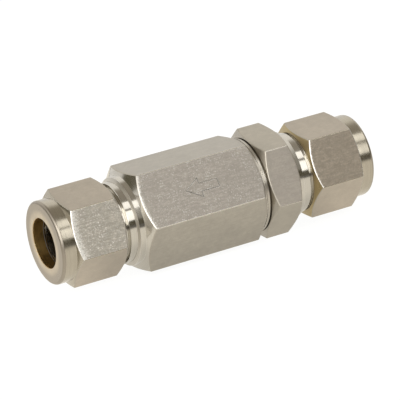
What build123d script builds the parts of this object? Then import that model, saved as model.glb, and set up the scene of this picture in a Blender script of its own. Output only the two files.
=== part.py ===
from build123d import *
from math import radians, sqrt, tan
import os

# In-line spring-loaded lift check valve, with a twin-ferrule fitting for 12.7 mm (1/2 in) tube at each
# end.
# +X runs along the valve from the outlet nut to the inlet nut, and the flow goes towards -X.
# +Z is the outward direction of one flat of the body. The origin is on the axis, at mid-length.
# Millimetres. "Station" means a distance along X from the origin, and a turned outline is a list of
# (station, radius) points.

# ---- Driving dimensions ----
BODY_ACROSS_FLATS = 25.4
NUT_ACROSS_FLATS = 22.225
HALF_LENGTH = 45.0
HEX_SIDES = 6
HEX_CORNER_ROUND = 0.25
HEX_CHAMFER_ANGLE = 30.0
HEX_ARC_ROUND = 0.3
NUT_ARC_ROUND = 0.3

CAP_CLOCKING = 14.4
OUTLET_NUT_CLOCKING = 14.9
INLET_NUT_CLOCKING = 11.4

# Hexagon of the body and of the cap: stations where the full corners start and end
BODY_HEX = (-20.64, 10.52)
CAP_HEX = (14.53, 20.91)
JOINT_STATION = 13.0
JOINT_RADIUS = 12.5
JOINT_GROOVE = (12.0, 12.2)
JOINT_GROOVE_RADIUS = 12.25
CAP_RELIEF_STATION = 13.4
CAP_HUB_RADIUS = 11.4

# Male fitting end, in distances from the origin
BODY_SHOULDER_RADIUS = 11.7
CAP_SHOULDER_RADIUS = 11.7
SHOULDER_TAPER = 0.2
SHOULDER_END = 23.7
SHOULDER_STEP = 0.45
NECK_RADIUS = 10.6
NECK_END = 26.0
NECK_EDGE_BREAK = 0.1
GROOVE_RADIUS = 9.6
GROOVE_END = 26.75
THREAD_RADIUS = 10.20
THREAD_START = 28.2
THREAD_PITCH = 1.27
THREAD_DEPTH = 0.72
THREAD_ROOT_WIDTH = 0.18
THREAD_FLANK_ANGLE = 30.0
THREAD_TURNS = 6
MALE_END = 37.0
MALE_END_CHAMFER = 0.7
EDGE_BREAK = 0.2

# Tube socket and sealing cone
TUBE_STOP = 22.1
SOCKET_RADIUS = 6.40
CONE_MOUTH_RADIUS = 7.9
CONE_ANGLE = 20.0

# Nut, in distances from the origin
NUT_INNER_FACE = 27.0
NUT_INNER_FACE_RADIUS = 10.5
NUT_HEX = (28.35, 40.36)
NUT_COLLAR_START = 41.25
NUT_COLLAR_RADIUS = 10.83
NUT_COLLAR_ROUND = 0.8
NUT_THREAD_RADIUS = 10.28
NUT_THREAD_END = 37.82
NUT_CHAMBER_RADIUS = 8.6
NUT_CHAMBER_START = 39.5
NUT_TUBE_RADIUS = 6.50
NUT_LAND_START = 41.9
NUT_MOUTH_CHAMFER = 0.13

# Ferrules
FERRULE_BORE_RADIUS = 6.42
FERRULE_GAP = 0.15
FRONT_FERRULE_NOSE = 34.0
FRONT_FERRULE_CONE_END = 37.6
FRONT_FERRULE_RADIUS = 8.2
FRONT_FERRULE_BACK = 38.9
FERRULE_RECESS_DEPTH = 1.2
FERRULE_RECESS_RADIUS = 7.25
BACK_FERRULE_NOSE_RADIUS = 6.95
BACK_FERRULE_RADIUS = 8.3
BACK_FERRULE_FLANGE = 38.93
BACK_FERRULE_FACE_RADIUS = 6.62

# Flow path through the body
CHAMBER_RADIUS = 8.6
CHAMBER_FLOOR = -14.0
CAP_BORE_START = 1.5
CAP_BORE_RADIUS = 9.95
OUTLET_PASSAGE_RADIUS = 5.15
OUTLET_FLARE_RADIUS = 7.5

# Cap: spigot inside the body, seat, and the groove of the body seal
SPIGOT_END = 2.0
SPIGOT_RADIUS = 9.85
SPIGOT_CHAMFER = 0.45
SEAL_GROOVE = (9.6, 12.6)
SEAL_GROOVE_RADIUS = 8.35
SEAT_OUTER_RADIUS = 6.4
ORIFICE_RADIUS = 4.9

# Seals
RING_SECTION_RADIUS = 0.89
BODY_SEAL_HALF_WIDTH = 0.98
BODY_SEAL_HALF_HEIGHT = 0.79
BODY_SEAL_PLAY = 0.1
BACKUP_RING_WIDTH = 0.83
BACKUP_RING_PLAY = 0.05
SEAL_CLEARANCE = 0.06

# Poppet
POPPET_SEAL_RADIUS = 5.5
POPPET_FLANGE_RADIUS = 6.8
POPPET_FLANGE_START = -1.0
POPPET_SKIRT_RADIUS = 6.2
POPPET_SKIRT_END = -8.0
POPPET_GROOVE_RADIUS = 4.6
POPPET_GROOVE_PLAY = 0.015
POPPET_LIP_RADIUS = 5.0
POPPET_LIP_LENGTH = 0.6
POPPET_NOSE = 4.6
POPPET_NOSE_RADIUS = 3.2
POCKET_RADIUS = 5.1
POCKET_FLOOR = -1.8
RIB_COUNT = 4
RIB_RADIUS = 8.52
RIB_WIDTH = 1.8
RIB_SPAN = (-7.5, -0.6)
LIFT = 3.0
LIFT_CLEARANCE = 0.05

# Poppet stop and spring
STOP_RADIUS = 8.55
STOP_OPENING_RADIUS = 7.1
STOP_THICKNESS = 2.0
STOP_POST_RADIUS = 3.9
SPOKE_COUNT = 3
SPOKE_WIDTH = 2.0
SPOKE_OVERLAP = 0.1
SPRING_WIRE_RADIUS = 0.4
SPRING_RADIUS = 4.5
SPRING_TURNS = 5.2
SPRING_END_GAP = 0.02

# Outline of a flow arrow, engraved in the front flat of the body
ARROW_STATION = -4.8
ARROW_LENGTH = 9.4
ARROW_HEAD_LENGTH = 4.2
ARROW_HEAD_WIDTH = 5.6
ARROW_SHAFT_WIDTH = 2.4
ARROW_LINE_WIDTH = 0.22
ARROW_DEPTH = 0.12
FRONT_FLAT_TILT = 60.0

OUTLET = -1
INLET = 1


def outline(points):
    """Closed face through (station, radius) points, ready to be turned about the valve's axis."""
    with BuildSketch(Plane.XY) as profile:
        with BuildLine():
            Polyline(*points, close=True)
        make_face()
    return profile.sketch


def at_end(side, points):
    """The same outline at either end of the valve: distances from the origin become stations."""
    return [(side * distance, radius) for distance, radius in points]


def corner_radius(across_flats):
    """Radius of a hexagon's corners."""
    return across_flats / sqrt(3)


def chamfer_run(across_flats, radius):
    """Length along the axis of the cone that takes a hexagon's corners down to a radius."""
    return (corner_radius(across_flats) - radius) * tan(radians(HEX_CHAMFER_ANGLE))


def hexagon(across_flats, clocking, start, end):
    """Hexagonal bar with slightly rounded corners, from one station to another."""
    with BuildPart() as bar:
        with BuildSketch(Plane.YZ.offset(start)):
            RegularPolygon(across_flats / 2, HEX_SIDES, major_radius=False, rotation=clocking)
        extrude(amount=end - start)
        fillet(bar.edges().filter_by(Axis.X), radius=HEX_CORNER_ROUND)
    return bar.part


def chamfer_arcs(part):
    """The curved edges where a hexagon's flats meet the cones of its two chamfers."""
    return part.edges().filter_by(lambda edge: edge.geom_type not in (GeomType.LINE, GeomType.CIRCLE))


def thread_points():
    """Crests and roots of the male thread, drawn as rings of its real pitch and depth."""
    root_radius = THREAD_RADIUS - THREAD_DEPTH
    flank = THREAD_DEPTH * tan(radians(THREAD_FLANK_ANGLE))
    points = []
    for turn in range(THREAD_TURNS):
        start = THREAD_START + turn * THREAD_PITCH
        root_end = start + flank + THREAD_ROOT_WIDTH
        points.append((start, THREAD_RADIUS))
        points.append((start + flank, root_radius))
        points.append((root_end, root_radius))
        points.append((root_end + flank, THREAD_RADIUS))
    return points


def male_end_points(shoulder_radius):
    """Outside of a fitting end, from its tip to the shoulder beside the hexagon."""
    shoulder_end_radius = shoulder_radius - SHOULDER_TAPER
    tip = [
        (MALE_END, 0),
        (MALE_END, THREAD_RADIUS - MALE_END_CHAMFER),
        (MALE_END - MALE_END_CHAMFER, THREAD_RADIUS),
    ]
    neck = [
        (GROOVE_END, THREAD_RADIUS),
        (GROOVE_END, GROOVE_RADIUS),
        (NECK_END, GROOVE_RADIUS),
        (NECK_END, NECK_RADIUS - NECK_EDGE_BREAK),
        (NECK_END - NECK_EDGE_BREAK, NECK_RADIUS),
        (SHOULDER_END + SHOULDER_STEP, NECK_RADIUS),
        (SHOULDER_END, shoulder_end_radius),
    ]
    return tip + thread_points()[::-1] + neck


def socket_points():
    """Inside of a fitting end, from the sealing cone's mouth to the tube stop."""
    cone_length = (CONE_MOUTH_RADIUS - SOCKET_RADIUS) / tan(radians(CONE_ANGLE))
    return [
        (MALE_END, 0),
        (MALE_END, CONE_MOUTH_RADIUS),
        (MALE_END - cone_length, SOCKET_RADIUS),
        (TUBE_STOP, SOCKET_RADIUS),
    ]


def make_valve_body():
    """Long hexagon with the outlet fitting, the poppet's chamber and the bore for the cap."""
    left = BODY_HEX[0] - chamfer_run(BODY_ACROSS_FLATS, BODY_SHOULDER_RADIUS)
    right = BODY_HEX[1] + chamfer_run(BODY_ACROSS_FLATS, JOINT_RADIUS)
    corner = corner_radius(BODY_ACROSS_FLATS)
    envelope = outline(
        [(left, 0), (left, BODY_SHOULDER_RADIUS), (BODY_HEX[0], corner)]
        + [(BODY_HEX[1], corner), (right, JOINT_RADIUS), (right, 0)]
    )
    turned = outline(
        at_end(OUTLET, male_end_points(BODY_SHOULDER_RADIUS))
        + [(left, BODY_SHOULDER_RADIUS), (right, BODY_SHOULDER_RADIUS), (right, JOINT_RADIUS)]
        + [(JOINT_GROOVE[0], JOINT_RADIUS), (JOINT_GROOVE[0], JOINT_GROOVE_RADIUS)]
        + [(JOINT_GROOVE[1], JOINT_GROOVE_RADIUS), (JOINT_GROOVE[1], JOINT_RADIUS)]
        + [(JOINT_STATION - EDGE_BREAK, JOINT_RADIUS), (JOINT_STATION, JOINT_RADIUS - EDGE_BREAK)]
        + [(JOINT_STATION, 0)]
    )
    flare_length = OUTLET_FLARE_RADIUS - OUTLET_PASSAGE_RADIUS
    bore = outline(
        at_end(OUTLET, socket_points())
        + [(OUTLET * TUBE_STOP, OUTLET_PASSAGE_RADIUS)]
        + [(CHAMBER_FLOOR - flare_length, OUTLET_PASSAGE_RADIUS), (CHAMBER_FLOOR, OUTLET_FLARE_RADIUS)]
        + [(CHAMBER_FLOOR, CHAMBER_RADIUS), (CAP_BORE_START, CHAMBER_RADIUS)]
        + [(CAP_BORE_START, CAP_BORE_RADIUS), (JOINT_STATION, CAP_BORE_RADIUS), (JOINT_STATION, 0)]
    )
    bar = hexagon(BODY_ACROSS_FLATS, 0, left, right)
    apothem = BODY_ACROSS_FLATS / 2
    flat = Plane.XY.rotated((FRONT_FLAT_TILT, 0, 0)).offset(apothem)
    with BuildPart() as body:
        add(bar)
        revolve(envelope, axis=Axis.X, mode=Mode.INTERSECT)
        fillet(chamfer_arcs(body), radius=HEX_ARC_ROUND)
        revolve(turned, axis=Axis.X)
        revolve(bore, axis=Axis.X, mode=Mode.SUBTRACT)
        with BuildSketch(flat):
            add(flow_arrow())
        extrude(amount=-ARROW_DEPTH, mode=Mode.SUBTRACT)
    body.part.label = "valve_body"
    return body.part


def flow_arrow():
    """Outline of a plain arrow that points to the outlet."""
    tip = ARROW_STATION - ARROW_LENGTH / 2
    tail = ARROW_STATION + ARROW_LENGTH / 2
    neck = tip + ARROW_HEAD_LENGTH
    with BuildSketch(Plane.XY) as arrow:
        with BuildLine():
            Polyline(
                (tip, 0),
                (neck, ARROW_HEAD_WIDTH / 2),
                (neck, ARROW_SHAFT_WIDTH / 2),
                (tail, ARROW_SHAFT_WIDTH / 2),
                (tail, -ARROW_SHAFT_WIDTH / 2),
                (neck, -ARROW_SHAFT_WIDTH / 2),
                (neck, -ARROW_HEAD_WIDTH / 2),
                close=True,
            )
        make_face()
        offset(amount=-ARROW_LINE_WIDTH, kind=Kind.INTERSECTION, mode=Mode.SUBTRACT)
    return arrow.sketch


def make_inlet_cap():
    """Short hexagon with the inlet fitting, and a spigot that carries the seat and the body seal."""
    relief = CAP_RELIEF_STATION
    right = CAP_HEX[1] + chamfer_run(BODY_ACROSS_FLATS, CAP_SHOULDER_RADIUS)
    corner = corner_radius(BODY_ACROSS_FLATS)
    envelope = outline(
        [(relief, 0), (relief, JOINT_RADIUS), (CAP_HEX[0], corner)]
        + [(CAP_HEX[1], corner), (right, CAP_SHOULDER_RADIUS), (right, 0)]
    )
    turned = outline(
        at_end(INLET, male_end_points(CAP_SHOULDER_RADIUS))
        + [(right, CAP_SHOULDER_RADIUS), (relief, CAP_SHOULDER_RADIUS), (relief, CAP_HUB_RADIUS)]
        + [(JOINT_STATION, CAP_HUB_RADIUS), (JOINT_STATION, SPIGOT_RADIUS)]
        + [(SEAL_GROOVE[1], SPIGOT_RADIUS)]
        + [(SEAL_GROOVE[1], SEAL_GROOVE_RADIUS), (SEAL_GROOVE[0], SEAL_GROOVE_RADIUS)]
        + [(SEAL_GROOVE[0], SPIGOT_RADIUS), (SPIGOT_END + SPIGOT_CHAMFER, SPIGOT_RADIUS)]
        + [(SPIGOT_END, SPIGOT_RADIUS - SPIGOT_CHAMFER), (SPIGOT_END, 0)]
    )
    seat_depth = SEAT_OUTER_RADIUS - ORIFICE_RADIUS
    bore = outline(
        at_end(INLET, socket_points())
        + [(TUBE_STOP, ORIFICE_RADIUS), (SPIGOT_END + seat_depth, ORIFICE_RADIUS)]
        + [(SPIGOT_END, SEAT_OUTER_RADIUS), (SPIGOT_END, 0)]
    )
    bar = hexagon(BODY_ACROSS_FLATS, CAP_CLOCKING, relief, right)
    with BuildPart() as cap:
        add(bar)
        revolve(envelope, axis=Axis.X, mode=Mode.INTERSECT)
        fillet(chamfer_arcs(cap), radius=HEX_ARC_ROUND)
        revolve(turned, axis=Axis.X)
        revolve(bore, axis=Axis.X, mode=Mode.SUBTRACT)
    cap.part.label = "inlet_cap"
    return cap.part


def make_nut(side, clocking, name):
    """Hexagon nut with a round collar, threaded bore, drive cone for the ferrules and tube hole."""
    corner = corner_radius(NUT_ACROSS_FLATS)
    envelope = outline(
        at_end(
            side,
            [
                (NUT_INNER_FACE, 0),
                (NUT_INNER_FACE, NUT_INNER_FACE_RADIUS),
                (NUT_HEX[0], corner),
                (NUT_HEX[1], corner),
                (NUT_COLLAR_START, NUT_COLLAR_RADIUS),
                (NUT_COLLAR_START, 0),
            ],
        )
    )
    collar_corner = (side * HALF_LENGTH, NUT_COLLAR_RADIUS)
    with BuildSketch(Plane.XY) as collar:
        with BuildLine():
            Polyline(
                (side * NUT_HEX[1], 0),
                (side * NUT_HEX[1], NUT_COLLAR_RADIUS),
                collar_corner,
                (side * HALF_LENGTH, 0),
                close=True,
            )
        make_face()
        fillet(collar.vertices().sort_by_distance(collar_corner)[0], radius=NUT_COLLAR_ROUND)
    bore = outline(
        at_end(
            side,
            [
                (NUT_INNER_FACE, 0),
                (NUT_INNER_FACE, NUT_THREAD_RADIUS),
                (NUT_THREAD_END, NUT_THREAD_RADIUS),
                (NUT_CHAMBER_START, NUT_CHAMBER_RADIUS),
                (NUT_LAND_START - (NUT_CHAMBER_RADIUS - NUT_TUBE_RADIUS), NUT_CHAMBER_RADIUS),
                (NUT_LAND_START, NUT_TUBE_RADIUS),
                (HALF_LENGTH - NUT_MOUTH_CHAMFER, NUT_TUBE_RADIUS),
                (HALF_LENGTH, NUT_TUBE_RADIUS + NUT_MOUTH_CHAMFER),
                (HALF_LENGTH, 0),
            ],
        )
    )
    first, last = sorted((side * NUT_INNER_FACE, side * NUT_COLLAR_START))
    bar = hexagon(NUT_ACROSS_FLATS, clocking, first, last)
    with BuildPart() as nut:
        add(bar)
        revolve(envelope, axis=Axis.X, mode=Mode.INTERSECT)
        fillet(chamfer_arcs(nut), radius=NUT_ARC_ROUND)
        revolve(collar.sketch, axis=Axis.X)
        revolve(bore, axis=Axis.X, mode=Mode.SUBTRACT)
    nut.part.label = name
    return nut.part


def make_front_ferrule(side, name):
    """Tapered ring whose nose lies in the fitting's sealing cone."""
    slope = tan(radians(CONE_ANGLE))
    back_radius = CONE_MOUTH_RADIUS - FERRULE_GAP + (FRONT_FERRULE_CONE_END - MALE_END) * slope
    nose_radius = CONE_MOUTH_RADIUS - FERRULE_GAP - (MALE_END - FRONT_FERRULE_NOSE) * slope
    profile = outline(
        at_end(
            side,
            [
                (FRONT_FERRULE_NOSE, FERRULE_BORE_RADIUS),
                (FRONT_FERRULE_NOSE, nose_radius),
                (FRONT_FERRULE_CONE_END, back_radius),
                (FRONT_FERRULE_CONE_END, FRONT_FERRULE_RADIUS),
                (FRONT_FERRULE_BACK, FRONT_FERRULE_RADIUS),
                (FRONT_FERRULE_BACK, FERRULE_RECESS_RADIUS),
                (FRONT_FERRULE_BACK - FERRULE_RECESS_DEPTH, FERRULE_BORE_RADIUS),
            ],
        )
    )
    with BuildPart() as ferrule:
        revolve(profile, axis=Axis.X)
    ferrule.part.label = name
    return ferrule.part


def make_back_ferrule(side, name):
    """Flanged ring that the nut's drive cone pushes into the front ferrule."""
    face = NUT_LAND_START - (BACK_FERRULE_FACE_RADIUS - NUT_TUBE_RADIUS) - FERRULE_GAP
    flange_back = face - (BACK_FERRULE_RADIUS - BACK_FERRULE_FACE_RADIUS)
    nose_tip = BACK_FERRULE_FLANGE - (BACK_FERRULE_NOSE_RADIUS - FERRULE_BORE_RADIUS)
    profile = outline(
        at_end(
            side,
            [
                (face, FERRULE_BORE_RADIUS),
                (face, BACK_FERRULE_FACE_RADIUS),
                (flange_back, BACK_FERRULE_RADIUS),
                (BACK_FERRULE_FLANGE, BACK_FERRULE_RADIUS),
                (BACK_FERRULE_FLANGE, BACK_FERRULE_NOSE_RADIUS),
                (nose_tip, FERRULE_BORE_RADIUS),
            ],
        )
    )
    with BuildPart() as ferrule:
        revolve(profile, axis=Axis.X)
    ferrule.part.label = name
    return ferrule.part


def poppet_seal_station():
    """Station of the poppet seal's centre, from its section and the 45 degree seat."""
    seat_sum = SPIGOT_END + SEAT_OUTER_RADIUS
    return seat_sum - sqrt(2) * (RING_SECTION_RADIUS + SEAL_CLEARANCE) - POPPET_SEAL_RADIUS


def make_poppet():
    """Head with a seal groove, a pocket for the spring and four ribs that guide it in the chamber."""
    groove_back = poppet_seal_station() - RING_SECTION_RADIUS - POPPET_GROOVE_PLAY
    groove_front = poppet_seal_station() + RING_SECTION_RADIUS + POPPET_GROOVE_PLAY
    profile = outline(
        [
            (POCKET_FLOOR, 0),
            (POCKET_FLOOR, POCKET_RADIUS),
            (POPPET_SKIRT_END, POCKET_RADIUS),
            (POPPET_SKIRT_END, POPPET_SKIRT_RADIUS - EDGE_BREAK),
            (POPPET_SKIRT_END + EDGE_BREAK, POPPET_SKIRT_RADIUS),
            (POPPET_FLANGE_START - EDGE_BREAK, POPPET_SKIRT_RADIUS),
            (POPPET_FLANGE_START, POPPET_FLANGE_RADIUS),
            (groove_back, POPPET_FLANGE_RADIUS),
            (groove_back, POPPET_GROOVE_RADIUS),
            (groove_front, POPPET_GROOVE_RADIUS),
            (groove_front, POPPET_LIP_RADIUS),
            (groove_front + POPPET_LIP_LENGTH, POPPET_LIP_RADIUS),
            (POPPET_NOSE, POPPET_NOSE_RADIUS),
            (POPPET_NOSE, 0),
        ]
    )
    with BuildPart() as poppet:
        revolve(profile, axis=Axis.X)
        with BuildSketch(Plane.YZ.offset(RIB_SPAN[0])):
            with PolarLocations(RIB_RADIUS / 2, RIB_COUNT):
                Rectangle(RIB_RADIUS + RIB_WIDTH, RIB_WIDTH)
            Circle(RIB_RADIUS, mode=Mode.INTERSECT)
            Circle((POCKET_RADIUS + POPPET_SKIRT_RADIUS) / 2, mode=Mode.SUBTRACT)
        extrude(amount=RIB_SPAN[1] - RIB_SPAN[0])
    poppet.part.label = "poppet"
    return poppet.part


def make_poppet_seal_ring():
    """Round-section rubber ring in the poppet's groove."""
    with BuildPart() as ring:
        with BuildSketch(Plane.XY):
            with Locations((poppet_seal_station(), POPPET_SEAL_RADIUS)):
                Circle(RING_SECTION_RADIUS)
        revolve(axis=Axis.X)
    ring.part.label = "poppet_seal_ring"
    return ring.part


def make_body_seal_ring():
    """Rubber ring, squeezed between the cap's groove and the body's bore."""
    centre_radius = (SEAL_GROOVE_RADIUS + CAP_BORE_RADIUS) / 2
    centre = SEAL_GROOVE[0] + BODY_SEAL_HALF_WIDTH + BODY_SEAL_PLAY
    with BuildPart() as ring:
        with BuildSketch(Plane.XY):
            with Locations((centre, centre_radius)):
                Ellipse(BODY_SEAL_HALF_WIDTH, BODY_SEAL_HALF_HEIGHT)
        revolve(axis=Axis.X)
    ring.part.label = "body_seal_ring"
    return ring.part


def make_backup_ring():
    """Flat plastic ring on the outer side of the body seal."""
    end = SEAL_GROOVE[1] - BACKUP_RING_PLAY
    start = end - BACKUP_RING_WIDTH
    inner = SEAL_GROOVE_RADIUS + BACKUP_RING_PLAY
    outer = CAP_BORE_RADIUS - BACKUP_RING_PLAY
    with BuildPart() as ring:
        revolve(outline([(start, inner), (start, outer), (end, outer), (end, inner)]), axis=Axis.X)
    ring.part.label = "backup_ring"
    return ring.part


def make_poppet_stop():
    """Spider on the chamber's floor: a rim, three spokes and a post that the poppet lands on."""
    post_end = POCKET_FLOOR - LIFT - LIFT_CLEARANCE
    with BuildPart() as stop:
        with BuildSketch(Plane.YZ.offset(CHAMBER_FLOOR)):
            Circle(STOP_RADIUS)
            Circle(STOP_OPENING_RADIUS, mode=Mode.SUBTRACT)
            with PolarLocations(STOP_OPENING_RADIUS / 2, SPOKE_COUNT):
                Rectangle(STOP_OPENING_RADIUS + 2 * SPOKE_OVERLAP, SPOKE_WIDTH)
            Circle(STOP_POST_RADIUS)
        extrude(amount=STOP_THICKNESS)
        with BuildSketch(Plane.YZ.offset(CHAMBER_FLOOR)):
            Circle(STOP_POST_RADIUS)
        extrude(amount=post_end - CHAMBER_FLOOR)
        chamfer(stop.edges().group_by(Axis.X)[-1], length=EDGE_BREAK)
    stop.part.label = "poppet_stop"
    return stop.part


def make_poppet_spring():
    """Compression spring between the stop and the floor of the poppet's pocket."""
    margin = SPRING_WIRE_RADIUS + SPRING_END_GAP
    start = CHAMBER_FLOOR + STOP_THICKNESS + margin
    height = POCKET_FLOOR - margin - start
    with BuildPart() as spring:
        with BuildLine():
            coil = Helix(
                height / SPRING_TURNS,
                height,
                SPRING_RADIUS,
                center=(start, 0, 0),
                direction=(1, 0, 0),
            )
        with BuildSketch(Plane(origin=coil @ 0, z_dir=coil % 0)):
            Circle(SPRING_WIRE_RADIUS)
        sweep(is_frenet=True)
    spring.part.label = "poppet_spring"
    return spring.part


pieces = [
    make_valve_body(),
    make_inlet_cap(),
    make_body_seal_ring(),
    make_backup_ring(),
    make_poppet(),
    make_poppet_seal_ring(),
    make_poppet_spring(),
    make_poppet_stop(),
    make_nut(OUTLET, OUTLET_NUT_CLOCKING, "outlet_nut"),
    make_front_ferrule(OUTLET, "outlet_front_ferrule"),
    make_back_ferrule(OUTLET, "outlet_back_ferrule"),
    make_nut(INLET, INLET_NUT_CLOCKING, "inlet_nut"),
    make_front_ferrule(INLET, "inlet_front_ferrule"),
    make_back_ferrule(INLET, "inlet_back_ferrule"),
]

os.makedirs("parts", exist_ok=True)
for piece in pieces:
    export_step(piece, f"parts/{piece.label}.step")
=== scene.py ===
from collections import namedtuple
from math import atan2, cos, degrees, pi, radians, sin, tan

import bmesh
import bpy
from mathutils import Matrix, Vector


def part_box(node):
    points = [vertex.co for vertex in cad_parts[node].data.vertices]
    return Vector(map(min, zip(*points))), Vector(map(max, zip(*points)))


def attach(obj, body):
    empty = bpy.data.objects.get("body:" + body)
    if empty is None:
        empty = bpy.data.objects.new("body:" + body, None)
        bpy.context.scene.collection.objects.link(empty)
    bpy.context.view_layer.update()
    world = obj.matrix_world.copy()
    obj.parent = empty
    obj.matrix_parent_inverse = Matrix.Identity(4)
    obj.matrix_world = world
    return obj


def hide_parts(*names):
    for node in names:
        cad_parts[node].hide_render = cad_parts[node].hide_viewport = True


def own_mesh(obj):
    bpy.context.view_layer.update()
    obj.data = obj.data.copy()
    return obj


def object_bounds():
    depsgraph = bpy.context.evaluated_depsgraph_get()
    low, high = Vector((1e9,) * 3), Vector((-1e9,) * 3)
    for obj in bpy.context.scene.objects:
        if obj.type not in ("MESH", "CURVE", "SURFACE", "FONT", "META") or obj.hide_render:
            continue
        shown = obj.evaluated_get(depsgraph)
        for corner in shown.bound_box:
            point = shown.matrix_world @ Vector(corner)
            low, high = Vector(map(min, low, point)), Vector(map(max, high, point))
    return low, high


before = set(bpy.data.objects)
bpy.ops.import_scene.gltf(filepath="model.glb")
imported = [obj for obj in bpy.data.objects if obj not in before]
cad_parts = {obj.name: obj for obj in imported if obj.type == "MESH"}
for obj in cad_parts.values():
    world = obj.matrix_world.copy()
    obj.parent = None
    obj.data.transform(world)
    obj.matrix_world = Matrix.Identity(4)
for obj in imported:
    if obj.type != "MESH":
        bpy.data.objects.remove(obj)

# An in-line check valve of stainless steel on a white table. +X runs along the valve from its outlet nut
# to its inlet nut, and +Z is the outward direction of one flat of the body. Metres.

cad_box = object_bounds()
MM = 0.001
FLOOR_Z = cad_box[0].z

# ---- Camera ----
CAMERA_AZIMUTH = -25.46
CAMERA_ELEVATION = 15.96
CAMERA_ROLL = 8.63
CAMERA_DISTANCE = 760.1 * MM
CAMERA_TARGET = Vector((-0.67, 0.18, -0.43)) * MM
CAMERA_LENS = 268.3
SENSOR_WIDTH = 36.0
CLIP_RANGE = (0.01, 50.0)

# ---- Places on the valve: distances along its axis, and the hexagons' sizes ----
Arc = namedtuple("Arc", "station corner run reach")
HEX_STEP = 60
BAR_APOTHEM = 12.7 * MM
NUT_APOTHEM = 11.1125 * MM
BAR_CORNER = BAR_APOTHEM / cos(radians(HEX_STEP / 2))
NUT_CORNER = NUT_APOTHEM / cos(radians(HEX_STEP / 2))
TUBE_HOLE_RADIUS = 6.6 * MM
FRONT_FLAT_ELEVATION = 30
ENGRAVING_FLOOR = 12.5 * MM
ARROW_SPAN = (-9.6 * MM, 0.0)
ARROW_HALF = 3.2 * MM
JOINT_SPAN = (9.0 * MM, 15.5 * MM)
STEP_SPAN = (23.6 * MM, 24.25 * MM)
STEP_SLOPE = 0.5
NUT_INNER_CHAMFER = 28.9 * MM
NUT_RIM = 44.15 * MM
NUT_END_FACE = 44.9 * MM
# Painted highlight on the lip in a tube hole: where it lies along the axis, and how soft its sides are.
LIP_HIGHLIGHT_SPAN = (41.85 * MM, 42.05 * MM)
LIP_HIGHLIGHT_FADE = 0.08 * MM
GOLDEN_RING = (7.2 * MM, 9.0 * MM)

# Arcs where a flat meets a chamfer's cone: where the hexagon's full corners end, their radius, the cone's
# run per radius, and how far the speckled wear and painted highlight beside the arc reach.
BODY_ARC = Arc(station=-20.64 * MM, corner=BAR_CORNER, run=0.577, reach=0.9 * MM)
OUTLET_ARC = Arc(station=-40.36 * MM, corner=NUT_CORNER, run=0.445, reach=2.6 * MM)
INLET_ARC = Arc(station=28.35 * MM, corner=NUT_CORNER, run=0.58, reach=0.5 * MM)

# ---- Studio: radiances as linear red, green and blue ----
FLOOR_RADIUS = 0.6
FLOOR_SEGMENTS = 96
LIT_FLOOR_CENTRE = Vector((0.10, 0.20, 0))
LIT_FLOOR_SPAN = (0.2945, 0.3255)
# Painted shade under the object in the floor's reflections: how far it reaches along the axis, then across
# it.
PAINTED_SHADE_SPAN_X = (26 * MM, 40 * MM)
PAINTED_SHADE_SPAN_Y = (9 * MM, 26 * MM)
FLOOR_PAINT = (0.10, 0.10, 0.10)
FLOOR_SEEN = (0.94, 0.94, 0.935)
FLOOR_LIT = (1.0, 0.95, 0.86)
# Painted shade under the object, seen in reflections of the floor.
FLOOR_PAINTED_SHADE = (0.76, 0.73, 0.67)
FLOOR_FAR = (0.06, 0.05, 0.04)
LAMP_DISTANCE = 1.6
SKY_SEEN = (1.0, 1.0, 1.0)
LOW_WALL = (1.0, 0.98, 0.95)
HIGH_WALL = (1.2, 1.17, 1.12)
CEILING = (0.42, 0.38, 0.32)
FRONT_WALL = (0.30, 0.28, 0.24)
DARK_CORNER = (0.13, 0.115, 0.08)
DARK_DOORWAY = (0.17, 0.155, 0.11)

# ---- Spring ----
SPRING_TURNS = 6.4
CLOSED_TURNS = 1.0
WIRE_RADIUS = 0.4 * MM
GROUND_WIRE = 0.2 * MM
RINGS_PER_TURN = 48
RING_VERTS = 12

# ---- Colours of the metal ----
BODY_STEEL = (0.43, 0.40, 0.345)
CAP_STEEL = (0.455, 0.42, 0.355)
# The marked flats' colours are painted darker (body, inlet nut) or lighter (cap, outlet nut) than the others:
# painted shade and painted light.
MARKED_BODY_SHADED_STEEL = (0.365, 0.335, 0.295)
MARKED_CAP_LIT_STEEL = (0.46, 0.42, 0.37)
NUT_STEEL = (0.455, 0.405, 0.335)
MARKED_OUTLET_LIT_STEEL = (0.52, 0.485, 0.42)
MARKED_INLET_SHADED_STEEL = (0.34, 0.295, 0.235)
COLLAR_STEEL = (0.41, 0.375, 0.305)
# Painted reflection: the inlet nut's inner cone is painted golden brown.
GOLDEN_REFLECTION_STEEL = (0.42, 0.34, 0.19)
GOLDEN_TINT = (0.54, 0.47, 0.36)
# Painted warm reflection: the bores are painted golden brown.
BORE_GOLDEN_REFLECTION_STEEL = (0.48, 0.32, 0.115)
ENGRAVED_STEEL = (0.16, 0.15, 0.13)
TURNED_STEEL = (0.515, 0.49, 0.435)
WIRE_STEEL = (0.42, 0.40, 0.37)
# Painted highlights on the chamfer arcs beside the marked flats: brighter on the nuts, dimmer on the body.
ARC_HIGHLIGHT_STEEL = (0.68, 0.65, 0.60)
BODY_ARC_HIGHLIGHT_STEEL = (0.50, 0.475, 0.42)
SOFT_ARC_STEEL = (0.42, 0.39, 0.33)
# Painted light: the steps of the necks, in the dark gaps beside the nuts, are painted lighter.
STEP_LIT_STEEL = (0.56, 0.53, 0.47)
# Painted shade: a dark line along the nuts' rounded rims.
RIM_SHADE_STEEL = (0.32, 0.285, 0.235)
# Pale colour of bare wear and of painted highlights on edges, on a lip and on a pale cone.
BRIGHT_WEAR_AND_HIGHLIGHT = (0.84, 0.82, 0.78)
SEAL_RUBBER = (0.02, 0.02, 0.02)
SEAL_PLASTIC = (0.85, 0.84, 0.80)
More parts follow.
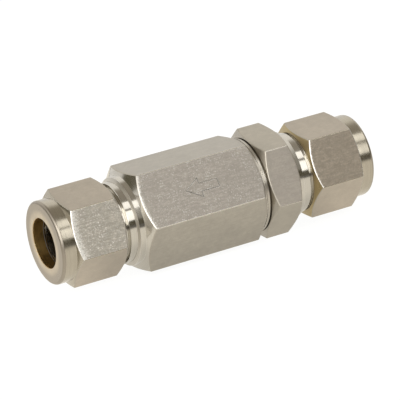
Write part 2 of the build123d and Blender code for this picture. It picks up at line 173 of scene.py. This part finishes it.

# ---- Hexagon flats: grit is the grain's contrast, marks is how strongly handling marks show, and edge_reach
# is how wide the edges bright with wear and painted highlight are. The marked flats are those that have
# been handled most, and their colours are painted lighter or darker than the other flats: painted light and
# painted shade. ----
Flat = namedtuple("Flat", "color roughness grit marks edge_reach arc", defaults=(None,))
FLATS = {
    "body_flat_marked": Flat(MARKED_BODY_SHADED_STEEL, 0.42, 0.18, 0.40, 0.16 * MM, BODY_ARC),
    "body_flat": Flat(BODY_STEEL, 0.40, 0.08, 0.06, 0.10 * MM),
    "cap_flat_marked": Flat(MARKED_CAP_LIT_STEEL, 0.42, 0.10, 0.15, 0.10 * MM),
    "cap_flat": Flat(CAP_STEEL, 0.40, 0.06, 0.06, 0.10 * MM),
    "outlet_flat_marked": Flat(MARKED_OUTLET_LIT_STEEL, 0.46, 0.38, 0.90, 0.40 * MM, OUTLET_ARC),
    "outlet_flat": Flat(NUT_STEEL, 0.42, 0.06, 0.10, 0.12 * MM),
    "inlet_flat_marked": Flat(MARKED_INLET_SHADED_STEEL, 0.38, 0.24, 0.12, 0.16 * MM, INLET_ARC),
    "inlet_flat": Flat(NUT_STEEL, 0.42, 0.06, 0.06, 0.12 * MM),
}

# ---- Patterns of the metal: noise cells per metre, one number or one an axis, and turns in radians ----
GRAIN = 2600
SPECKS = 3000
BLOTCHES = 420
CLOUDS = 120
STREAKS = (160, 2400, 2400)
MOTTLE = (850, 1300, 1300)
SCRATCHES = (900, 5200, 2600)
SCRATCH_TURN = (0.3, 0.5, 0.9)
NICKS = (5200, 1300, 3100)
NICK_TURN = (0.8, 0.2, -0.5)
TOOL_RINGS = (7000, 30, 30)
BORE_RINGS = (5000, 25, 25)
FACE_RINGS = 5000
TURNED_STAINS = 220
BORE_STAINS = 260
FACE_STAINS = 300
SEAL_MOTTLE = 900
SEAL_PEEL = 5000


def direction(azimuth, elevation):
    """Unit vector from the object: azimuth 0 is -Y, 90 is +X, and elevation is above the horizon."""
    a, e = radians(azimuth), radians(elevation)
    return Vector((sin(a) * cos(e), -cos(a) * cos(e), sin(e)))


FRONT_FLAT_NORMAL = direction(0, FRONT_FLAT_ELEVATION)
FRONT_FLAT_ACROSS = direction(0, FRONT_FLAT_ELEVATION - 90)


# ---- Camera, floor and light ----
def make_camera():
    data = bpy.data.cameras.new("camera")
    data.lens = CAMERA_LENS
    data.sensor_width = SENSOR_WIDTH
    data.clip_start, data.clip_end = CLIP_RANGE
    camera = bpy.data.objects.new("camera", data)
    bpy.context.scene.collection.objects.link(camera)
    back = direction(CAMERA_AZIMUTH, CAMERA_ELEVATION)
    level = (-back).to_track_quat("-Z", "Y").to_matrix().to_4x4()
    roll = Matrix.Rotation(radians(-CAMERA_ROLL), 4, "Z")
    camera.matrix_world = Matrix.Translation(CAMERA_TARGET + back * CAMERA_DISTANCE) @ level @ roll
    bpy.context.scene.camera = camera


class Graph:
    """Short names for building the nodes of a material or of the world."""

    def __init__(self, owner):
        owner.use_nodes = True
        self.owner = owner
        self.nodes = owner.node_tree.nodes
        self.links = owner.node_tree.links
        self.coords = self.nodes.new("ShaderNodeTexCoord")

    def new(self, kind, settings=None, inputs=None):
        node = self.nodes.new(kind)
        for key, value in (settings or {}).items():
            setattr(node, key, value)
        for key, value in (inputs or {}).items():
            self.put(node.inputs[key], value)
        return node

    def put(self, socket, value):
        if isinstance(value, bpy.types.NodeSocket):
            self.links.new(value, socket)
        else:
            socket.default_value = value

    def math(self, operation, first, second=0.0):
        node = self.new("ShaderNodeMath", {"operation": operation})
        self.put(node.inputs[0], first)
        self.put(node.inputs[1], second)
        return node.outputs[0]

    def vector(self, operation, first, second=None):
        node = self.new("ShaderNodeVectorMath", {"operation": operation})
        self.put(node.inputs[0], first)
        if second is not None:
            self.put(node.inputs[1], second)
        return node.outputs["Value" if operation in ("DOT_PRODUCT", "LENGTH") else "Vector"]

    def ramp(self, value, low, high, to_low=0.0, to_high=1.0, smooth=False):
        settings = {"interpolation_type": "SMOOTHSTEP" if smooth else "LINEAR"}
        inputs = {"Value": value, "From Min": low, "From Max": high, "To Min": to_low, "To Max": to_high}
        return self.new("ShaderNodeMapRange", settings, inputs).outputs["Result"]

    def fade(self, value, low, high):
        """1 below low, 0 above high, smooth between."""
        return self.ramp(value, low, high, 1.0, 0.0, smooth=True)

    def mix(self, factor, first, second):
        node = self.new("ShaderNodeMix", {"data_type": "RGBA"}, {"Factor": factor, "A": first, "B": second})
        return node.outputs["Result"]

    def noise(self, scale, stretch=(1, 1, 1), turn=(0, 0, 0), detail=2.0, roughness=0.55):
        """Noise of a given scale per metre, stretched along the axes."""
        inputs = {"Vector": self.coords.outputs["Object"], "Rotation": turn, "Scale": stretch}
        mapping = self.new("ShaderNodeMapping", inputs=inputs)
        inputs = {"Vector": mapping.outputs[0], "Scale": scale, "Detail": detail, "Roughness": roughness}
        return self.new("ShaderNodeTexNoise", inputs=inputs).outputs["Fac"]

    def off_axis(self):
        """Distance from the valve's axis."""
        across = self.vector("MULTIPLY", self.coords.outputs["Object"], (0, 1, 1))
        return self.vector("LENGTH", across)

    def bump(self, height, strength, distance, normal=None):
        inputs = {"Height": height, "Strength": strength, "Distance": distance}
        if normal is not None:
            inputs["Normal"] = normal
        return self.new("ShaderNodeBump", inputs=inputs).outputs["Normal"]

    def edges(self, radius):
        """1 on sharp edges, 0 on open surfaces."""
        bevel = self.new("ShaderNodeBevel", {"samples": 6}, {"Radius": radius})
        geometry = self.new("ShaderNodeNewGeometry")
        dot = self.vector("DOT_PRODUCT", bevel.outputs[0], geometry.outputs["Normal"])
        return self.ramp(dot, 0.995, 0.90)


def rgba(color, scale=1.0):
    return (color[0] * scale, color[1] * scale, color[2] * scale, 1.0)


def make_floor():
    """White table: evenly lit where it is seen, and in reflections glowing with painted shade under the
    object, fading to dark away from the object.
    """
    mesh = bpy.data.meshes.new("floor")
    disc = bmesh.new()
    bmesh.ops.create_circle(disc, cap_ends=True, segments=FLOOR_SEGMENTS, radius=FLOOR_RADIUS)
    bmesh.ops.translate(disc, vec=(0, 0, FLOOR_Z), verts=disc.verts)
    disc.to_mesh(mesh)
    disc.free()
    floor = bpy.data.objects.new("floor", mesh)
    bpy.context.scene.collection.objects.link(floor)
    g = Graph(bpy.data.materials.new("white_table"))
    place = g.coords.outputs["Object"]
    reach = g.vector("LENGTH", g.vector("SUBTRACT", place, LIT_FLOOR_CENTRE))
    lit = g.fade(reach, *LIT_FLOOR_SPAN)
    apart = g.new("ShaderNodeSeparateXYZ", inputs={"Vector": g.vector("ABSOLUTE", place)})
    # Painted shade: the floor's glow in reflections is darker under the object.
    under = g.fade(apart.outputs["Y"], *PAINTED_SHADE_SPAN_Y)
    under = g.math("MULTIPLY", under, g.fade(apart.outputs["X"], *PAINTED_SHADE_SPAN_X))
    reflected = g.mix(under, rgba(FLOOR_LIT), rgba(FLOOR_PAINTED_SHADE))
    reflected = g.mix(lit, rgba(FLOOR_FAR), reflected)
    seen = g.new("ShaderNodeLightPath").outputs["Is Camera Ray"]
    shader = g.nodes["Principled BSDF"]
    shader.inputs["Base Color"].default_value = rgba(FLOOR_PAINT)
    shader.inputs["Roughness"].default_value = 1.0
    shader.inputs["Specular IOR Level"].default_value = 0.0
    shader.inputs["Emission Strength"].default_value = 1.0
    g.put(shader.inputs["Emission Color"], g.mix(seen, reflected, rgba(FLOOR_SEEN)))
    mesh.materials.append(g.owner)


def softbox(name, azimuth, elevation, across, tall, radiance):
    """Studio light facing the object: angles it fills, in degrees, and the radiance a mirror would show."""
    data = bpy.data.lights.new(name, "AREA")
    data.shape = "RECTANGLE"
    data.size = 2 * LAMP_DISTANCE * tan(radians(across / 2))
    data.size_y = 2 * LAMP_DISTANCE * tan(radians(tall / 2))
    data.energy = radiance * pi * data.size * data.size_y
    lamp = bpy.data.objects.new(name, data)
    bpy.context.scene.collection.objects.link(lamp)
    away = direction(azimuth, elevation)
    lamp.location = away * LAMP_DISTANCE
    lamp.rotation_mode = "QUATERNION"
    lamp.rotation_quaternion = away.to_track_quat("Z", "Y")
    lamp.visible_camera = False


def make_world():
    """Pale studio walls under a dim ceiling, a dark corner at the front right and a dark doorway at the back
    left. Heights are the sine of the elevation, and a sector's limits are cosines of the angle."""
    world = bpy.data.worlds.new("studio")
    bpy.context.scene.world = world
    g = Graph(world)
    toward = g.coords.outputs["Generated"]
    height = g.new("ShaderNodeSeparateXYZ", inputs={"Vector": toward}).outputs["Z"]

    def sector(azimuth, low, high):
        """0 to 1 from the low limit to the high one, nearest to one azimuth."""
        return g.ramp(g.vector("DOT_PRODUCT", toward, direction(azimuth, 0)), low, high, smooth=True)

    def spot(azimuth, elevation, reach):
        """1 within so many degrees of one direction, 0 further away."""
        near = g.vector("DOT_PRODUCT", toward, direction(azimuth, elevation))
        soften = 1.5
        return g.ramp(near, cos(radians(reach + soften)), cos(radians(reach - soften)), smooth=True)

    wall = g.ramp(height, 0.30, 0.52, smooth=True)
    ceiling = g.ramp(height, 0.74, 0.90, smooth=True)
    front = g.math("MULTIPLY", sector(32, 0.15, 0.75), 0.85)
    horizon = g.math("MULTIPLY", sector(-60, -0.1, 0.4), g.fade(height, 0.02, 0.10))
    corner = g.math("MULTIPLY", sector(32, 0.30, 0.80), g.fade(height, 0.16, 0.24))
    doorway = spot(azimuth=-129, elevation=14, reach=14)
    color = g.mix(wall, rgba(LOW_WALL), rgba(HIGH_WALL))
    color = g.mix(ceiling, color, rgba(CEILING))
    color = g.mix(front, color, rgba(FRONT_WALL))
    color = g.mix(g.math("MAXIMUM", horizon, corner), color, rgba(DARK_CORNER))
    color = g.mix(doorway, color, rgba(DARK_DOORWAY))
    seen = g.new("ShaderNodeLightPath").outputs["Is Camera Ray"]
    color = g.mix(seen, color, rgba(SKY_SEEN))
    background = g.nodes["Background"]
    g.put(background.inputs["Color"], color)
    background.inputs["Strength"].default_value = 1.0


def make_lights():
    softbox("front_low_box", azimuth=27, elevation=23.5, across=14, tall=25, radiance=1.85)
    softbox("front_high_box", azimuth=33, elevation=50, across=46, tall=17, radiance=1.45)
    softbox("left_box", azimuth=-40, elevation=25, across=74, tall=46, radiance=2.5)


# ---- Materials ----
def metal(g, color, roughness, normal):
    shader = g.nodes["Principled BSDF"]
    shader.inputs["Metallic"].default_value = 1.0
    g.put(shader.inputs["Base Color"], color)
    g.put(shader.inputs["Roughness"], roughness)
    g.put(shader.inputs["Normal"], normal)
    return g.owner


def arc_wear_and_highlight(g, arc, specks):
    """Speckled wear and painted highlight beside an arc, thinning out away from it."""
    along = g.new("ShaderNodeSeparateXYZ", inputs={"Vector": g.coords.outputs["Object"]}).outputs["X"]
    cone = g.math("MULTIPLY", g.math("SUBTRACT", arc.corner, g.off_axis()), arc.run)
    distance = g.math("ADD", g.math("SUBTRACT", along, arc.station), cone)
    near = g.ramp(distance, 0.0, arc.reach, 1.0, 0.0)
    density = g.math("ADD", specks, g.math("MULTIPLY", near, 0.20))
    return g.math("MULTIPLY", near, g.ramp(density, 0.50, 0.62))


def flat_steel(name):
    """Hexagon flats of drawn bar: faint grain and streaks along the axis, bright handling marks and
    scratches, and edges made bright by wear and by painted highlight."""
    color, roughness, grit, marks, edge_reach, arc = FLATS[name]
    g = Graph(bpy.data.materials.new(name))
    grain = g.noise(GRAIN, detail=3.0, roughness=0.6)
    streaks = g.noise(1.0, STREAKS, detail=3.0, roughness=0.65)
    mottle = g.noise(1.0, MOTTLE, detail=4.0, roughness=0.65)
    blotches = g.noise(BLOTCHES, detail=3.0, roughness=0.6)
    clouds = g.noise(CLOUDS)
    specks = g.noise(SPECKS, roughness=0.5)
    scratches = g.noise(1.0, SCRATCHES, SCRATCH_TURN, detail=1.0)
    nicks = g.noise(1.0, NICKS, NICK_TURN, detail=1.0)
    fine = g.math("ADD", g.math("MULTIPLY", streaks, 0.6), g.math("MULTIPLY", grain, 0.4))
    tone = g.mix(g.ramp(fine, 0.38, 0.62), rgba(color, 1.0 - grit), rgba(color, 1.0 + grit))
    shade = g.math("ADD", g.math("MULTIPLY", blotches, 0.55), g.math("MULTIPLY", clouds, 0.45))
    tone = g.mix(g.ramp(shade, 0.38, 0.62, 0.0, 0.55), tone, rgba(color, 0.80))
    tone = g.mix(g.ramp(mottle, 0.36, 0.64, 0.0, min(1.0, grit * 4)), tone, rgba(color, 0.74))
    lines = [g.ramp(noise, 0.66, 0.76, 0.0, 0.8) for noise in (scratches, nicks)]
    bright = g.math("MAXIMUM", g.math("MAXIMUM", *lines), g.ramp(specks, 0.57, 0.68))
    bright = g.math("MULTIPLY", bright, g.ramp(blotches, 0.42, 0.60, 0.25, 1.0))
    tone = g.mix(g.math("MULTIPLY", bright, marks), tone, rgba(BRIGHT_WEAR_AND_HIGHLIGHT))
    bare = g.ramp(specks, 0.46, 0.60, 0.05, min(0.85, 2 * marks))
    # Bright edges: wear, and a painted highlight along the edges.
    wear_and_highlight = g.math("MULTIPLY", g.edges(edge_reach), bare)
    if arc:
        wear_and_highlight = g.math("MAXIMUM", wear_and_highlight, arc_wear_and_highlight(g, arc, specks))
    tone = g.mix(wear_and_highlight, tone, rgba(BRIGHT_WEAR_AND_HIGHLIGHT))
    rough = g.ramp(fine, 0.3, 0.7, roughness - 0.05, roughness + 0.06)
    normal = g.bump(streaks, 0.10, 0.02 * MM)
    normal = g.bump(grain, grit * 2.0, 0.03 * MM, normal)
    return metal(g, tone, rough, normal)


def turned_steel(name, color, roughness, ring_strength, edge_wear_and_highlight=0.6):
    """Turned faces: fine tool rings round the axis, faint stains, and edges made bright by wear and by
    painted highlight.
    """
    g = Graph(bpy.data.materials.new(name))
    rings = g.noise(1.0, TOOL_RINGS)
    clouds = g.noise(TURNED_STAINS, detail=3.0)
    # Bright edges: wear, and a painted highlight along the edges.
    wear_and_highlight = g.edges(0.15 * MM)
    tone = g.mix(g.ramp(rings, 0.35, 0.65), rgba(color, 0.94), rgba(color, 1.06))
    tone = g.mix(g.ramp(clouds, 0.4, 0.7, 0.0, 0.35), tone, rgba(color, 0.86))
    tone = g.mix(g.math("MULTIPLY", wear_and_highlight, edge_wear_and_highlight), tone, rgba(BRIGHT_WEAR_AND_HIGHLIGHT))
    rough = g.ramp(clouds, 0.3, 0.7, roughness - 0.03, roughness + 0.04)
    return metal(g, tone, rough, g.bump(rings, ring_strength, 0.01 * MM))


def end_face_steel(name, color, roughness):
    """Outer end face of a nut: turned rings, bright and golden near the tube hole, duller towards the rim."""
    g = Graph(bpy.data.materials.new(name))
    radius = g.off_axis()
    inputs = {"W": radius, "Scale": FACE_RINGS, "Detail": 3.0}
    rings = g.new("ShaderNodeTexNoise", {"noise_dimensions": "1D"}, inputs).outputs["Fac"]
    clouds = g.noise(FACE_STAINS, detail=3.0)
    near = g.fade(radius, *GOLDEN_RING)
    tone = g.mix(near, rgba(color, 0.72), rgba(GOLDEN_TINT))
    tone = g.mix(g.ramp(clouds, 0.35, 0.7, 0.0, 0.4), tone, rgba(color, 0.84))
    tone = g.mix(g.ramp(rings, 0.4, 0.6, 0.0, 0.10), tone, rgba(color, 0.7))
    # Bright edges: wear, and a painted highlight along the edges.
    tone = g.mix(g.math("MULTIPLY", g.edges(0.12 * MM), 0.6), tone, rgba(BRIGHT_WEAR_AND_HIGHLIGHT))
    rough = g.ramp(clouds, 0.3, 0.7, roughness - 0.04, roughness + 0.06)
    return metal(g, tone, rough, g.bump(rings, 0.15, 0.01 * MM))


def bore_steel(name, color, roughness):
    """Inside of bores: metal painted dull golden as a painted warm reflection, turning rings, edges bright
    with wear and painted highlight, and a painted highlight on the lip in a tube hole.
    """
    g = Graph(bpy.data.materials.new(name))
    rings = g.noise(1.0, BORE_RINGS)
    clouds = g.noise(BORE_STAINS)
    wear_and_highlight = g.edges(0.15 * MM)
    tone = g.mix(g.ramp(rings, 0.35, 0.65), rgba(color, 0.85), rgba(color, 1.1))
    tone = g.mix(g.ramp(clouds, 0.45, 0.6, 0.0, 0.75), tone, rgba(color, 0.5))
    tone = g.mix(g.math("MULTIPLY", wear_and_highlight, 0.7), tone, rgba(BRIGHT_WEAR_AND_HIGHLIGHT))
    # Painted highlight: a bright ring on the lip in a tube hole.
    station = g.vector("LENGTH", g.vector("MULTIPLY", g.coords.outputs["Object"], (1, 0, 0)))
    inner = g.ramp(station, LIP_HIGHLIGHT_SPAN[0], LIP_HIGHLIGHT_SPAN[0] + LIP_HIGHLIGHT_FADE)
    outer = g.ramp(station, LIP_HIGHLIGHT_SPAN[1], LIP_HIGHLIGHT_SPAN[1] + LIP_HIGHLIGHT_FADE, 1.0, 0.0)
    tone = g.mix(g.math("MULTIPLY", g.math("MULTIPLY", inner, outer), 0.8), tone, rgba(BRIGHT_WEAR_AND_HIGHLIGHT))
    rough = g.ramp(rings, 0.3, 0.7, roughness - 0.05, roughness + 0.08)
    return metal(g, tone, rough, g.bump(rings, 0.3, 0.015 * MM))


def seal_material(name, color, roughness):
    """Moulded rubber or plastic: faint mottling and a fine orange-peel surface."""
    g = Graph(bpy.data.materials.new(name))
    clouds = g.noise(SEAL_MOTTLE, detail=3.0)
    peel = g.noise(SEAL_PEEL, detail=1.0)
    shader = g.nodes["Principled BSDF"]
    g.put(shader.inputs["Base Color"], g.mix(clouds, rgba(color, 0.8), rgba(color, 1.2)))
    g.put(shader.inputs["Roughness"], g.ramp(clouds, 0.3, 0.7, roughness - 0.05, roughness + 0.1))
    g.put(shader.inputs["Normal"], g.bump(peel, 0.2, 0.02 * MM))
    return g.owner


def set_materials(node, materials, choose):
    """Gives each face of a CAD node one of the materials; choose says which, from the face."""
    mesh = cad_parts[node].data
    mesh.materials.clear()
    for material in materials:
        mesh.materials.append(material)
    for polygon in mesh.polygons:
        polygon.material_index = choose(polygon)


# ---- Which material each face takes ----
# Slots of a hexagonal node's materials: six that body, cap and nuts share, then three of the body and cap,
# or three of a nut.
MARKED_FLAT, CLEAN_FLAT, WORN_HIGHLIT_ARC, SOFT_ARC, TURNED, BORE = range(6)
ENGRAVED, JOINT_RING, NECK_STEP = 6, 7, 8
END_FACE, INNER_CONE, RIM = 6, 7, 8

# What tells the faces apart: the axial part of a face's normal, and how far it may lie from a flat or a cone.
ON_AXIS = 0.98
OFF_AXIS = 0.02
RIM_SLOPE = 0.12
CONE_SLOPES = (0.05, 0.84)
INWARD = -1e-7
FLAT_PLAY = 0.08 * MM
ARC_PLAY = 0.15 * MM


def face_kind(polygon, apothem):
    """Which material a face of a hexagonal node takes. Every other flat is a marked one, with its arcs."""
    normal, centre = polygon.normal, polygon.center
    radius = Vector((centre.y, centre.z)).length
    outward = normal.y * centre.y + normal.z * centre.z
    if outward < INWARD or radius < TUBE_HOLE_RADIUS:
        return BORE
    turn = degrees(atan2(normal.z, -normal.y)) - FRONT_FLAT_ELEVATION
    marked = round(turn / HEX_STEP) % 2 == 0
    if abs(normal.x) < OFF_AXIS and abs(outward - apothem) < FLAT_PLAY:
        return MARKED_FLAT if marked else CLEAN_FLAT
    if CONE_SLOPES[0] < abs(normal.x) < CONE_SLOPES[1] and radius > apothem - ARC_PLAY:
        return WORN_HIGHLIT_ARC if marked else SOFT_ARC
    return TURNED


def bar_face_kind(polygon):
    """As face_kind, with the engraving, the joint between body and cap, and the steps of the necks apart."""
    kind, normal, centre = face_kind(polygon, BAR_APOTHEM), polygon.normal, polygon.center
    if kind in (MARKED_FLAT, CLEAN_FLAT, BORE):
        return kind
    height, aside = centre.dot(FRONT_FLAT_NORMAL), abs(centre.dot(FRONT_FLAT_ACROSS))
    if height > ENGRAVING_FLOOR and aside < ARROW_HALF and ARROW_SPAN[0] < centre.x < ARROW_SPAN[1]:
        return ENGRAVED
    if kind == TURNED and JOINT_SPAN[0] < centre.x < JOINT_SPAN[1]:
        return JOINT_RING
    if kind == TURNED and STEP_SPAN[0] < abs(centre.x) < STEP_SPAN[1] and abs(normal.x) > STEP_SLOPE:
        return NECK_STEP
    return kind


def nut_face_kind(polygon):
    """As face_kind, with a nut's outer end face, its rounded rim, and the faces on the body's side apart."""
    kind, normal, centre = face_kind(polygon, NUT_APOTHEM), polygon.normal, polygon.center
    if kind != TURNED:
        return kind
    if abs(normal.x) > ON_AXIS and abs(centre.x) > NUT_END_FACE:
        return END_FACE
    if abs(centre.x) > NUT_RIM and abs(normal.x) > RIM_SLOPE:
        return RIM
    if normal.x * centre.x < 0 and abs(centre.x) < NUT_INNER_CHAMFER:
        return INNER_CONE
    return TURNED


def cover(nodes, material):
    """Gives whole CAD nodes one material."""
    for node in nodes:
        set_materials(node, [material], lambda polygon: 0)


def dress_bar(soft_arc, bore):
    """Body and cap, cut from the same hexagonal bar."""
    body = [flat_steel("body_flat_marked"), flat_steel("body_flat")]
    cap = [flat_steel("cap_flat_marked"), flat_steel("cap_flat")]
    # Painted highlight on the body's arcs beside its marked flats, dimmer than the nuts'.
    body_arc_highlight = turned_steel("body_arc_highlight", BODY_ARC_HIGHLIGHT_STEEL, roughness=0.30, ring_strength=0.3, edge_wear_and_highlight=0.3)
    shared = [
        soft_arc,
        turned_steel("bar_turned", TURNED_STEEL, roughness=0.13, ring_strength=0.15),
        bore,
        turned_steel("engraved_line", ENGRAVED_STEEL, roughness=0.5, ring_strength=0.2),
        turned_steel("joint_ring", BODY_STEEL, roughness=0.28, ring_strength=0.3),
        # Painted light: the neck steps are painted lighter than the turned steel.
        turned_steel("neck_step", STEP_LIT_STEEL, roughness=0.3, ring_strength=0.2),
    ]
    set_materials("valve_body", body + [body_arc_highlight] + shared, bar_face_kind)
    set_materials("inlet_cap", cap + [soft_arc] + shared, bar_face_kind)


def dress_nuts(soft_arc, bore):
    outlet = [flat_steel("outlet_flat_marked"), flat_steel("outlet_flat")]
    inlet = [flat_steel("inlet_flat_marked"), flat_steel("inlet_flat")]
    shared = [
        # Painted highlight, with wear, on the nuts' arcs beside the marked flats.
        turned_steel("worn_highlit_arc", ARC_HIGHLIGHT_STEEL, roughness=0.28, ring_strength=0.3),
        soft_arc,
        turned_steel("nut_turned", COLLAR_STEEL, roughness=0.19, ring_strength=0.2),
        bore,
        end_face_steel("nut_end_face", NUT_STEEL, roughness=0.30),
    ]
    # Painted light: the outlet nut's inner cone is painted pale so that the neck beside it reflects a bright
    # surface.
    painted_light_cone = turned_steel("outlet_inner_cone", BRIGHT_WEAR_AND_HIGHLIGHT, roughness=0.35, ring_strength=0.2)
    # Painted reflection: golden brown on the inlet nut's inner cone.
    golden_reflection_cone = turned_steel("inlet_inner_cone", GOLDEN_REFLECTION_STEEL, roughness=0.30, ring_strength=0.2)
    # Painted shade: the rounded rim is painted dark, as a dark line.
    rim = turned_steel("nut_rim_shade", RIM_SHADE_STEEL, roughness=0.34, ring_strength=0.2, edge_wear_and_highlight=0.0)
    set_materials("outlet_nut", outlet + shared + [painted_light_cone, rim], nut_face_kind)
    set_materials("inlet_nut", inlet + shared + [golden_reflection_cone, rim], nut_face_kind)


def dress_inner_pieces():
    ferrule = turned_steel("ferrule_turned", TURNED_STEEL, roughness=0.18, ring_strength=0.15)
    inner = turned_steel("inner_turned", TURNED_STEEL, roughness=0.2, ring_strength=0.2)
    rubber = seal_material("seal_rubber", SEAL_RUBBER, roughness=0.5)
    plastic = seal_material("seal_plastic", SEAL_PLASTIC, roughness=0.4)
    cover(("outlet_front_ferrule", "outlet_back_ferrule"), ferrule)
    cover(("inlet_front_ferrule", "inlet_back_ferrule"), ferrule)
    cover(("poppet", "poppet_stop"), inner)
    cover(("body_seal_ring", "poppet_seal_ring"), rubber)
    cover(("backup_ring",), plastic)


def dress():
    soft_arc = turned_steel("soft_arc", SOFT_ARC_STEEL, roughness=0.45, ring_strength=0.3, edge_wear_and_highlight=0.0)
    bore = bore_steel("bore", BORE_GOLDEN_REFLECTION_STEEL, roughness=0.35)
    dress_bar(soft_arc, bore)
    dress_nuts(soft_arc, bore)
    dress_inner_pieces()


def make_spring():
    """The poppet's spring, with a closed and ground coil at each end, in the room of its plain CAD coil."""
    low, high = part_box("poppet_spring")
    coil_radius = (high.y - low.y) / 2 - WIRE_RADIUS
    rings = int(SPRING_TURNS * RINGS_PER_TURN) + 1
    start, end = low.x + GROUND_WIRE, high.x - GROUND_WIRE
    closed_rise = CLOSED_TURNS * 2 * WIRE_RADIUS
    open_rise = (end - start - 2 * closed_rise) / (SPRING_TURNS - 2 * CLOSED_TURNS)
    verts, faces = [], []
    for ring in range(rings):
        turn = ring / RINGS_PER_TURN
        open_turns = min(max(turn - CLOSED_TURNS, 0), SPRING_TURNS - 2 * CLOSED_TURNS)
        closed_turns = turn - open_turns
        along = start + closed_turns * 2 * WIRE_RADIUS + open_turns * open_rise
        angle = 2 * pi * turn
        for corner in range(RING_VERTS):
            side = 2 * pi * corner / RING_VERTS
            radius = coil_radius + WIRE_RADIUS * cos(side)
            x = min(max(along + WIRE_RADIUS * sin(side), low.x), high.x)
            verts.append((x, radius * cos(angle), radius * sin(angle)))
    for ring in range(rings - 1):
        for corner in range(RING_VERTS):
            after = (corner + 1) % RING_VERTS
            a, b = ring * RING_VERTS, (ring + 1) * RING_VERTS
            faces.append((a + corner, b + corner, b + after, a + after))
    last = (rings - 1) * RING_VERTS
    faces.append(tuple(range(RING_VERTS)))
    faces.append(tuple(last + corner for corner in reversed(range(RING_VERTS))))
    mesh = bpy.data.meshes.new("poppet_spring_coil")
    mesh.from_pydata(verts, [], faces)
    mesh.polygons.foreach_set("use_smooth", [len(face) == 4 for face in faces])
    mesh.materials.append(turned_steel("spring_wire", WIRE_STEEL, roughness=0.3, ring_strength=0.05))
    spring = bpy.data.objects.new("poppet_spring_coil", mesh)
    bpy.context.scene.collection.objects.link(spring)
    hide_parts("poppet_spring")
    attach(spring, "housing")
    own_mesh(spring)


make_camera()
make_floor()
make_world()
make_lights()
dress()
make_spring()
bpy.context.scene.view_settings.view_transform = "Standard"
